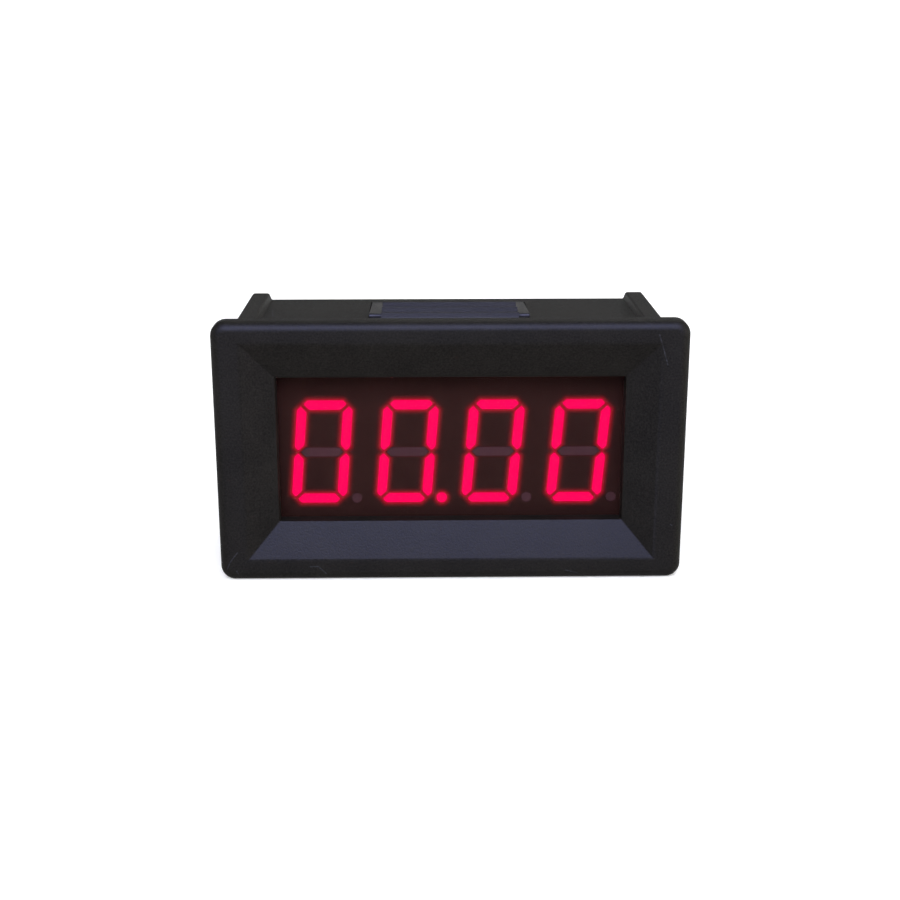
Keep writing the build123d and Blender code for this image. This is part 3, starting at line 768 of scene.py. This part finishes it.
class METER_OT_display(bpy.types.Operator):
    """Makes the window, the display's face with its painted glow, and its lit and unlit bars."""

    bl_idname = "panel_meter.display"
    bl_label = "Display"

    GRID = 0.16 * MM  # spacing of the points that carry the glow
    CORNER = 0.14 * MM  # rounding of a bar's corners
    RINGS = (0.03 * MM, 0.03 * MM, 0.04 * MM)  # steps inwards from a bar's rim
    AIR = 0.03 * MM  # between the window and the display
    SHEET_EDGE = 0.04 * MM  # rounding of the window's edges

    def execute(self, context):
        settings = context.scene.meter_display
        self.window(settings)
        self.face(settings)
        self.bars("lit_segments", lit_material(settings))
        self.bars("unlit_segments", unlit_material(settings))
        return {"FINISHED"}

    def window(self, settings):
        """Rounds the sheet's edges and leaves a hair of air before the display."""
        bm = merged("filter_window")
        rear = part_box("filter_window")[1][1]
        for vert in bm.verts:
            if vert.co.y > rear - TOUCH:
                vert.co.y -= self.AIR
        name = "window_sheet"
        mesh = rounded(bm, name, window_material(settings), self.SHEET_EDGE)
        piece(name, mesh, "filter_window")

    def face(self, settings):
        """Rebuilds the front face as fine triangles that know their distance to the lit bars, for
        the painted glow.
        """
        low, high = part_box("display_housing")
        depth = low[1]
        lit = merged("lit_segments")
        _, lit_starts, lit_ends = rim_ends(lit, depth)
        lit.free()
        bm = merged("display_housing")
        rim, starts, ends = rim_ends(bm, depth)
        across = np.arange(low[0] + self.GRID, high[0] - self.GRID / 2, self.GRID)
        up = np.arange(low[2] + self.GRID, high[2] - self.GRID / 2, self.GRID)
        grid = np.array([(x, z) for z in up for x in across])
        near = distance(grid, lit_starts, lit_ends) < settings.glow_reach + 2 * self.GRID
        clear = distance(grid, starts, ends) > self.GRID * 0.4
        grid = grid[near & clear]
        grid = grid[inside(grid, starts, ends)]
        corners = list({v for e in rim for v in e.verts})
        corners.sort(key=lambda v: (round(v.co.x, 7), round(v.co.z, 7)))
        number = {v: i for i, v in enumerate(corners)}
        flat = [Vector((v.co.x, v.co.z)) / MM for v in corners]
        flat += [Vector((x, z)) / MM for x, z in grid]
        links = [(number[e.verts[0]], number[e.verts[1]]) for e in rim]
        points, _, faces, sources, _, _ = geometry.delaunay_2d_cdt(flat, links, [], 0, 1e-5)
        bmesh.ops.delete(bm, geom=front_faces(bm, depth), context="FACES_ONLY")
        made = []
        for point, source in zip(points, sources):
            old = [i for i in source if i < len(corners)]
            if old:
                made.append(corners[old[0]])
            else:
                made.append(bm.verts.new((point.x * MM, depth, point.y * MM)))
        middles = np.array(
            [[sum(points[i][k] for i in f) / len(f) * MM for k in (0, 1)] for f in faces]
        )
        for face, real in zip(faces, inside(middles, starts, ends)):
            if real:
                fresh = bm.faces.new([made[i] for i in face])
                fresh.normal_update()
                if fresh.normal.y > 0:
                    fresh.normal_flip()
        loose = [v for v in bm.verts if not v.link_faces]
        bmesh.ops.delete(bm, geom=loose, context="VERTS")
        layer = bm.verts.layers.float.new("bar_distance")
        spots = np.array([(v.co.x, v.co.z) for v in bm.verts])
        for vert, away in zip(bm.verts, distance(spots, lit_starts, lit_ends)):
            vert[layer] = float(away) if vert.co.y < depth + TOUCH else 1.0
        mesh = to_mesh(bm, "display_face", face_material(settings))
        piece("display_face", mesh, "display_housing")

    def bars(self, node, material):
        """Rounds the bars' corners and marks each point with its distance from the rim."""
        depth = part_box(node)[0][1]
        bm = merged(node)
        bend = math.radians(20.0)
        sharp = [e for e in bm.edges if e.calc_face_angle(0.0) > bend]
        upright = [e for e in sharp if abs(e.verts[0].co.y - e.verts[1].co.y) > TOUCH]
        arc = {"offset": self.CORNER, "segments": 4, "profile": 0.5, "clamp_overlap": True}
        bmesh.ops.bevel(bm, geom=upright, affect="EDGES", **arc)
        faces = front_faces(bm, depth)
        layer = bm.verts.layers.float.new("rim_distance")
        inward = 0.0
        for step in self.RINGS:
            bmesh.ops.inset_individual(bm, faces=faces, thickness=step, use_even_offset=True)
            inward += step
            for face in faces:
                for vert in face.verts:
                    vert[layer] = inward
        name = node + "_finished"
        piece(name, to_mesh(bm, name, material), node)


class METER_OT_board(bpy.types.Operator):
    """Adds the board's mask, tracks, pads, solder, vias and printed outlines."""

    bl_idname = "panel_meter.board"
    bl_label = "Circuit board"

    COPPER = 0.035 * MM  # thickness of the copper
    INK = 0.02 * MM  # thickness of the print
    SUNK = 0.02 * MM  # how deep a strip is let into the board below it
    FOOT = 0.05 * MM  # what is lower than this over the board stands on it
    CLEAR = 0.7  # a via stands at least this far from a part's foot, in mm
    SOLDERED = ("controller_leads", "transistor_leads", "chip_end_caps", "regulator_leads")
    SOLDERED += ("diode_leads", "capacitor_tabs", "trimmer_tabs", "header_tabs")
    OUTLINED = ("controller", "voltage_regulator", "supply_diode", "capacitor_base")
    OUTLINED += ("trimmer_body", "wire_header")

    def execute(self, context):
        settings = context.scene.meter_board
        self.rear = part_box("circuit_board")[1][1]
        softened("circuit_board", board_material(settings), 0.04 * MM, 1)
        solder = grained(
            "tin solder, reflowed", "#b9b9b4", "#d8d8d2", 0.3, (0.12, 0.25), 1.0, 0.003
        )
        self.fillets(solder)
        self.pads(solder)
        self.tracks(settings)
        self.outlines(settings)
        return {"FINISHED"}

    def middles(self, node, level=None):
        """The middles (x, z) in mm of a node's solids, where they meet the board."""
        bm = merged(node)
        found = []
        for group in islands(bm):
            feet = [v.co for v in group if level is None or v.co.y < level]
            if feet:
                xs, zs = [c.x for c in feet], [c.z for c in feet]
                found.append(((min(xs) + max(xs)) / 2 / MM, (min(zs) + max(zs)) / 2 / MM))
        bm.free()
        return found

    def fillets(self, solder):
        """Hollow cones of solder that creep up the display's pins."""
        low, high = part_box("solder_joints")
        pins = self.middles("display_pins")
        foot = (high[0] - low[0]) / 2 - max(x for x, z in pins) * MM
        top, rise, rings = 0.36 * MM, high[1] - low[1], 8
        profile = []
        for i in range(rings + 1):
            share = i / rings
            profile.append((top + (foot - top) * (1 - share) ** 2.4, share * rise))
        template = turned("solder_fillet", profile)
        places = [(x * MM, low[1], z * MM) for x, z in pins]
        mesh = repeated("solder_fillets", template, places, solder)
        piece("solder_fillets", mesh, "solder_joints")

    def pads(self, solder):
        """Low mounds of solder round the feet of the leads and end caps."""
        bm = bmesh.new()
        foot, crown, rise = 0.2 * MM, 0.04 * MM, 0.09 * MM
        for node in self.SOLDERED:
            wide = foot * (0.5 if node == "controller_leads" else 1.0)
            part = merged(node)
            for group in islands(part):
                feet = [v.co for v in group if v.co.y < self.rear + self.FOOT]
                if not feet:
                    continue
                x0, x1 = min(c.x for c in feet), max(c.x for c in feet)
                z0, z1 = min(c.z for c in feet), max(c.z for c in feet)
                outlines = []
                for grow in (wide, crown):
                    a, b, c, d = x0 - grow, x1 + grow, z0 - grow, z1 + grow
                    cut = min(grow, (b - a) / 4, (d - c) / 4)
                    low_side = [(a + cut, c), (b - cut, c), (b, c + cut), (b, d - cut)]
                    high_side = [(b - cut, d), (a + cut, d), (a, d - cut), (a, c + cut)]
                    outlines.append(low_side + high_side)
                slab(bm, *outlines, self.rear - self.SUNK, self.rear + rise)
            part.free()
        bmesh.ops.recalc_face_normals(bm, faces=bm.faces)
        mesh = to_mesh(bm, "solder_pads", solder, smooth=60.0)
        piece("solder_pads", mesh, "circuit_board", False)

    def routes(self):
        """The thin and the wide tracks as points in mm, from one part's foot to the next."""
        level = self.rear + self.FOOT
        pins = sorted(self.middles("display_pins"))
        lower = [p for p in pins if p[1] < 0]
        upper = [p for p in pins if p[1] > 0]
        caps = sorted(self.middles("chip_end_caps", level))
        chips_low = [p for p in caps if p[1] < -2.3]
        chips_high = [p for p in caps if p[1] > -2.3]
        feet = sorted(self.middles("transistor_leads", level))
        feet_low = [p for p in feet if p[1] < 0.6]
        feet_high = [p for p in feet if p[1] > 0.6]
        leads = sorted(self.middles("controller_leads", level), key=lambda p: p[1])
        leads = [p for p in leads if p[0] > -14]
        thin = []
        # Chips on the right to the pins on the right, each level under the one before
        for k, (chip, pin) in enumerate(zip(chips_low[5:], lower[2:])):
            z = -4.1 - 0.4 * k
            thin.append([chip, (chip[0], z), (pin[0], z), pin])
        # Controller leads to the chips on the left and to the two left pins
        for lead, chip in zip(leads[7:4:-1], chips_low):
            thin.append([lead, (chip[0], lead[1]), chip])
        for lead, pin in zip(leads[4:2:-1], lower[1::-1]):
            thin.append([lead, (pin[0], lead[1]), pin])
        # A bus that runs below the pins to vias beside the header
        for k, lead in enumerate(leads[2::-1]):
            z = -8.55 - 0.45 * k
            turn, end = -8.5 - 0.4 * k, 7.6 + 0.55 * k
            thin.append([lead, (turn, lead[1]), (turn, z), (end, z), (end, z + 1.6)])
        # The rest of the controller's leads go up past the trimmer
        for k, lead in enumerate(leads[8:]):
            x = -9.0 + 0.5 * k
            thin.append([lead, (x, lead[1]), (x, 1.6 + 0.9 * k)])
        # Chips to the transistors above them, and the transistors to the upper pins
        chosen = chips_high[:4] + chips_high[5:]
        for chip, foot in zip(chosen, feet_low):
            thin.append([chip, foot])
        for foot, pin in zip(feet_high, (upper[0], upper[2], upper[3], upper[5])):
            thin.append([foot, (foot[0], 3.4), (pin[0], 4.1), pin])
        for pin in (upper[1], upper[4]):
            thin.append([pin, (pin[0], 3.0)])
        # Supply: header, capacitor, diode and regulator
        cap_low, cap_high = sorted(self.middles("capacitor_tabs", level), key=lambda p: p[1])
        diode_left, diode_right = sorted(self.middles("diode_leads", level))
        header_left, _ = sorted(self.middles("header_tabs", level))
        regulator = sorted(self.middles("regulator_leads", level))
        wide = [
            [diode_right, (9.4, diode_right[1]), (9.4, cap_high[1]), cap_high],
            [cap_low, (cap_low[0], -2.6)],
            [regulator[-1], (-0.4, regulator[-1][1]), (-0.4, 8.0), diode_left],
            [header_left, (8.3, header_left[1]), (8.3, 2.2), (9.9, 2.2)],
        ]
        for tab in self.middles("trimmer_tabs", level):
            if tab[1] < 6:
                thin.append([tab, (tab[0], 0.4 + 0.1 * (tab[0] + 14))])
        return thin, wide

    def tracks(self, settings):
        """Copper tracks under the mask, and the plated vias at their free ends."""
        bm = bmesh.new()
        low, high = self.rear - self.SUNK, self.rear + self.COPPER
        thin, wide = self.routes()
        for routes, width in ((thin, settings.track_width), (wide, settings.supply_width)):
            for points in routes:
                ribbon(bm, bent(points), width, low, high)
        bmesh.ops.recalc_face_normals(bm, faces=bm.faces)
        pale = [min(1.0, c * 1.9) for c in settings.mask_colour]
        mesh = to_mesh(bm, "board_tracks", copper_material(pale))
        piece("board_tracks", mesh, "circuit_board", False)
        taken = self.middles("display_pins") + self.middles("chip_end_caps")
        taken += self.middles("transistor_leads", self.rear + self.FOOT)
        free = [points[-1] for points in thin]
        ends = [p for p in free if all(math.dist(p, t) > self.CLEAR for t in taken)]
        ends += [(0.9 * i + 7.4, 4.4 + 0.9 * j) for i in range(2) for j in range(2)]
        ends += [(-9.4 + 0.9 * i, 8.8 - 0.9 * j) for i in range(3) for j in range(2)]
        outer, hole, rim = 0.32 * MM, 0.14 * MM, 0.05 * MM
        profile = [(outer, -self.SUNK), (outer, rim * 0.6), (outer * 0.8, rim), (hole, rim)]
        profile += [(hole, rim * 0.3)]
        template = turned("via", profile, 16)
        tin = grained("tin plate, hot levelled", "#b0b0ab", "#cacac4", 0.1, (0.2, 0.35), 1.0)
        places = [(x * MM, self.rear, z * MM) for x, z in ends]
        mesh = repeated("board_vias", template, places, tin)
        piece("board_vias", mesh, "circuit_board", False)

    def outlines(self, settings):
        """White printed outlines round the larger parts, without lettering."""
        bm = bmesh.new()
        gap, low, high = 0.3, self.rear - self.SUNK, self.rear + self.INK
        for node in self.OUTLINED:
            box_low, box_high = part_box(node)
            x0, x1 = box_low[0] / MM - gap, box_high[0] / MM + gap
            z0, z1 = box_low[2] / MM - gap, box_high[2] / MM + gap
            inset = settings.print_width / MM
            for a, b in (((x0, z0), (x1, z0)), ((x0, z1), (x1, z1))):
                ribbon(bm, (a, b), settings.print_width, low, high)
            for x in (x0, x1):
                ribbon(bm, ((x, z0 + inset), (x, z1 - inset)), settings.print_width, low, high)
        bmesh.ops.recalc_face_normals(bm, faces=bm.faces)
        ink = grained("epoxy ink, screen-printed white", "#cfd2cc", "#e0e2dc", 0.1, (0.5, 0.65))
        mesh = to_mesh(bm, "board_print", ink)
        piece("board_print", mesh, "circuit_board", False)


class METER_OT_parts(bpy.types.Operator):
    """Rounds the edges of the parts behind the panel and gives them their finishes."""

    bl_idname = "panel_meter.parts"
    bl_label = "Parts"

    def execute(self, context):
        # Metals: a matt tin plate on the leads, brass for the rotor, drawn aluminium
        tin = grained("tin plate, matt", "#a9a9a6", "#c4c4c0", 0.08, (0.3, 0.45), 1.0)
        brass = grained("brass, turned", "#b08d45", "#c9a45a", 0.05, (0.2, 0.35), 1.0)
        # Plastics: dull black mouldings, pale nylon and polyester
        mould = grained("epoxy mould compound", "#17181a", "#26272b", 0.1, (0.5, 0.65))
        foot = grained("phenolic, moulded black", "#141414", "#1e1e1e", 0.1, (0.4, 0.5))
        nylon = grained("nylon, moulded natural", "#d0cab6", "#dcd6c5", 0.3, (0.35, 0.5))
        dial = grained("polyester, moulded blue", "#23468f", "#2c53a3", 0.2, (0.3, 0.42))
        epoxy = grained("epoxy, poured", "#b9a878", "#c8b888", 0.5, (0.1, 0.2))
        # Ceramics: a glassy black glaze and a dull fired tan
        glaze = grained("resistor glaze, fired", "#101012", "#1c1c1f", 0.2, (0.12, 0.22))
        ceramic = grained("ceramic, fired", "#8f7a55", "#a08a62", 0.08, (0.4, 0.55))
        pale = grained("glass laminate, bare", "#a8a070", "#b8b082", 0.3, (0.4, 0.5))
        # The rounding of each part's edges in mm, by finish
        self.dress(tin, display_pins=0.08, controller_leads=0.04, transistor_leads=0.04)
        self.dress(tin, regulator_leads=0.04, diode_leads=0.06, capacitor_tabs=0.04)
        self.dress(tin, trimmer_tabs=0.04, header_pins=0.07, header_tabs=0.05, chip_end_caps=0.06)
        self.dress(mould, controller=0.05, digit_transistors=0.05, voltage_regulator=0.05)
        self.dress(mould, supply_diode=0.06)
        self.dress(pale, display_substrate=0.03)
        self.dress(epoxy, display_epoxy=0.03)
        self.dress(nylon, wire_header=0.12)
        self.dress(glaze, chip_resistors=0.03)
        self.dress(ceramic, ceramic_capacitors=0.05)
        self.dress(can_material(), capacitor_can=0.05)
        self.dress(foot, capacitor_base=0.08)
        self.dress(dial, trimmer_body=0.08)
        self.dress(brass, trimmer_rotor=0.04)
        return {"FINISHED"}

    def dress(self, material, **widths):
        """Gives nodes a material, and rounds their edges by a width in mm."""
        for node, width in widths.items():
            softened(node, material, width * MM)


class METER_OT_stage(bpy.types.Operator):
    """Sets the floor, the backdrop, the lamps, the room light and the camera."""

    bl_idname = "panel_meter.stage"
    bl_label = "Stage"

    def execute(self, context):
        settings = context.scene.meter_stage
        context.scene.view_settings.view_transform = "Standard"
        self.camera(context)
        self.floor(settings)
        self.room(context, settings)
        self.lamps()
        return {"FINISHED"}

    def camera(self, context):
        """The camera, which looks at the meter from in front and above."""
        data = bpy.data.cameras.new("camera")
        data.lens = LENS_MM
        data.sensor_width = SENSOR_MM
        data.sensor_fit = "HORIZONTAL"
        data.clip_start = 1 * MM
        data.clip_end = 10.0
        made = new_object("camera", data)
        down, turn = CAMERA_DOWN, CAMERA_TURN
        ahead = Vector(
            (math.sin(turn) * math.cos(down), math.cos(turn) * math.cos(down), -math.sin(down))
        )
        right = Vector((math.cos(turn), -math.sin(turn), 0.0))
        up = right.cross(ahead)
        axes = Matrix((right, up, -ahead)).transposed()
        roll = Matrix.Rotation(CAMERA_ROLL, 3, "Z")
        made.matrix_world = Matrix.Translation(CAMERA_PLACE) @ (axes @ roll).to_4x4()
        context.scene.camera = made

    def floor(self, settings):
        """A round floor whose edge curves up a little beyond the horizon."""
        bottom, reach, radius = CAD_BOX[0][2], 1.1, 0.12
        turns, steps = 96, 8
        profile = [(0.02, bottom), (reach - radius, bottom)]
        for i in range(1, steps + 1):
            angle = i / steps * math.radians(80)
            out = reach - radius + radius * math.sin(angle)
            profile.append((out, bottom + radius * (1 - math.cos(angle))))
        bm, _ = revolved(profile, turns, upright=True)
        bm.normal_update()
        mesh = to_mesh(bm, "floor", self.floor_material(settings), smooth=30.0)
        new_object("floor", mesh)

    def floor_material(self, settings):
        """White paper that the camera sees as white, and that keeps the shadow."""
        made, tree, shader, place = new_material("white paper sweep")
        away = add(tree, "VectorMath", {0: place}, operation="LENGTH")
        fade = {"Value": away, "From Min": 0.05, "From Max": 0.4, "To Min": 0.35}
        lift = add(tree, "MapRange", fade, interpolation_type="SMOOTHSTEP")
        rays = add(tree, "LightPath").outputs
        pair = {0: rays["Is Camera Ray"], 1: rays["Is Glossy Ray"]}
        seen = add(tree, "Math", pair, operation="MAXIMUM")
        seen = add(tree, "Math", {0: seen, 1: rays["Is Transmission Ray"]}, operation="MAXIMUM")
        light = add(tree, "Math", {0: seen, 1: lift}, operation="MULTIPLY")
        looks = {"Base Color": (*settings.floor_colour, 1.0), "Roughness": 0.9}
        looks |= {"Emission Color": (1.0, 1.0, 1.0, 1.0), "Emission Strength": light}
        connect(tree, shader, {**looks, "Specular IOR Level": 0.1})
        return made

    def room(self, context, settings):
        """Even light from all round."""
        world = bpy.data.worlds.new("room")
        context.scene.world = world
        world.use_nodes = True
        tree = world.node_tree
        tree.nodes.clear()
        light = add(tree, "Background", {"Color": (1.0, 1.0, 1.0, 1.0), "Strength": settings.sky})
        add(tree, "OutputWorld", {"Surface": light})

    def lamps(self):
        """A cool key, weak sides, a lamp behind, and a blue sky that only gloss shows."""
        # Name, place, width and height in metres, watts, colour, whether it lights matt paint
        lamps = (
            ("key", (-0.05, -0.42, 0.40), 0.36, 0.30, 3.2, "#f1f3ff", True),
            ("left", (-0.55, -0.10, 0.16), 0.25, 0.25, 0.6, "#ffffff", True),
            ("right", (0.55, -0.12, 0.14), 0.25, 0.25, 2.6, "#fff9f2", True),
            ("rear", (0.10, 0.45, 0.55), 0.40, 0.30, 1.6, "#ffffff", True),
            ("sky panel", (0.0, -0.40, 0.37), 0.50, 0.45, 35.0, "#bbc1ff", False),
        )
        for name, place, width, height, power, colour, on_matt in lamps:
            data = bpy.data.lights.new(name, "AREA")
            data.shape = "RECTANGLE"
            data.size = width
            data.size_y = height
            data.energy = power
            data.color = linear(colour)[:3]
            made = new_object(name, data)
            made.location = place
            made.rotation_euler = (-Vector(place)).to_track_quat("-Z", "Y").to_euler()
            made.visible_diffuse = on_matt


STEPS = (METER_OT_case, METER_OT_display, METER_OT_board, METER_OT_parts, METER_OT_stage)
GROUPS = {
    "meter_case": MeterCaseSettings,
    "meter_display": MeterDisplaySettings,
    "meter_board": MeterBoardSettings,
    "meter_stage": MeterStageSettings,
}


class METER_PT_panel(bpy.types.Panel):
    """Lists the steps that build the meter's looks, and their settings."""

    bl_idname = "METER_PT_panel"
    bl_label = "Panel meter"
    bl_space_type = "VIEW_3D"
    bl_region_type = "UI"
    bl_category = "Panel Meter"

    def draw(self, context):
        for step in STEPS:
            self.layout.operator(step.bl_idname)
        for group, kind in GROUPS.items():
            settings = getattr(context.scene, group)
            for name in kind.__annotations__:
                self.layout.prop(settings, name)


def register():
    for kind in (*GROUPS.values(), *STEPS, METER_PT_panel):
        bpy.utils.register_class(kind)
    for name, kind in GROUPS.items():
        setattr(bpy.types.Scene, name, PointerProperty(type=kind))


def unregister():
    for name in GROUPS:
        delattr(bpy.types.Scene, name)
    for kind in (METER_PT_panel, *reversed(STEPS), *reversed(list(GROUPS.values()))):
        bpy.utils.unregister_class(kind)


def main():
    """Builds the looks step by step."""
    register()
    bpy.ops.panel_meter.case()
    bpy.ops.panel_meter.display()
    bpy.ops.panel_meter.board()
    bpy.ops.panel_meter.parts()
    bpy.ops.panel_meter.stage()


if __name__ == "__main__":
    main()
